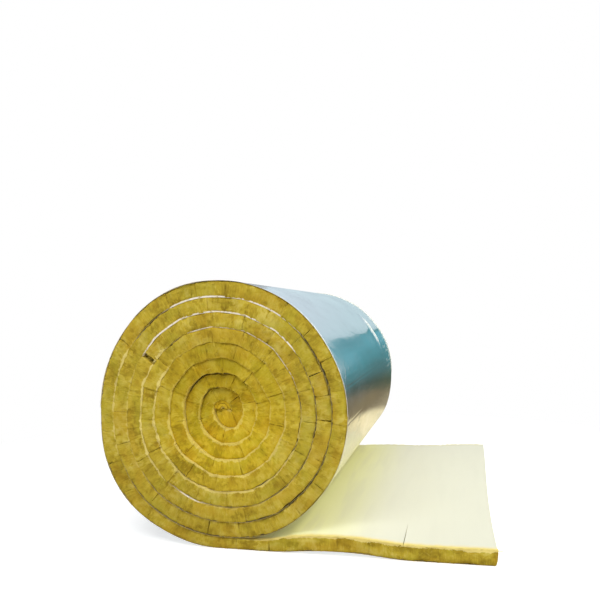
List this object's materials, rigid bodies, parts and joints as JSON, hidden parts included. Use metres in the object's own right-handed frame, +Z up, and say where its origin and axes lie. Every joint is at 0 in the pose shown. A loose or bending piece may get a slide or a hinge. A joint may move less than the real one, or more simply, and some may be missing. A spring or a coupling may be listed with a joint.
{
  "type": "insulation roll",
  "caption": "Foil-faced mineral wool lamella mat wound into a roll lying on its side, with its free end unrolled flat on the floor; thermal insulation for ducts, pipes and walls.",
  "frame": {"origin": "on the floor, at the middle of the area that the roll and its unrolled end cover", "axes": "+Y along the roll's axis, +X the way the free end is unrolled, +Z up"},
  "size_m": [0.812, 1, 0.5484],
  "materials": {
    "wool": "matt olive-yellow mineral wool with a fibrous cut face, paler on the side that lies inside the roll",
    "foil": "bright bluish silver aluminium foil, lightly creased"
  },
  "bodies": {
    "root": {"wool_lamellas": "wool", "foil_facing": "foil"}
  },
  "joints": []
}
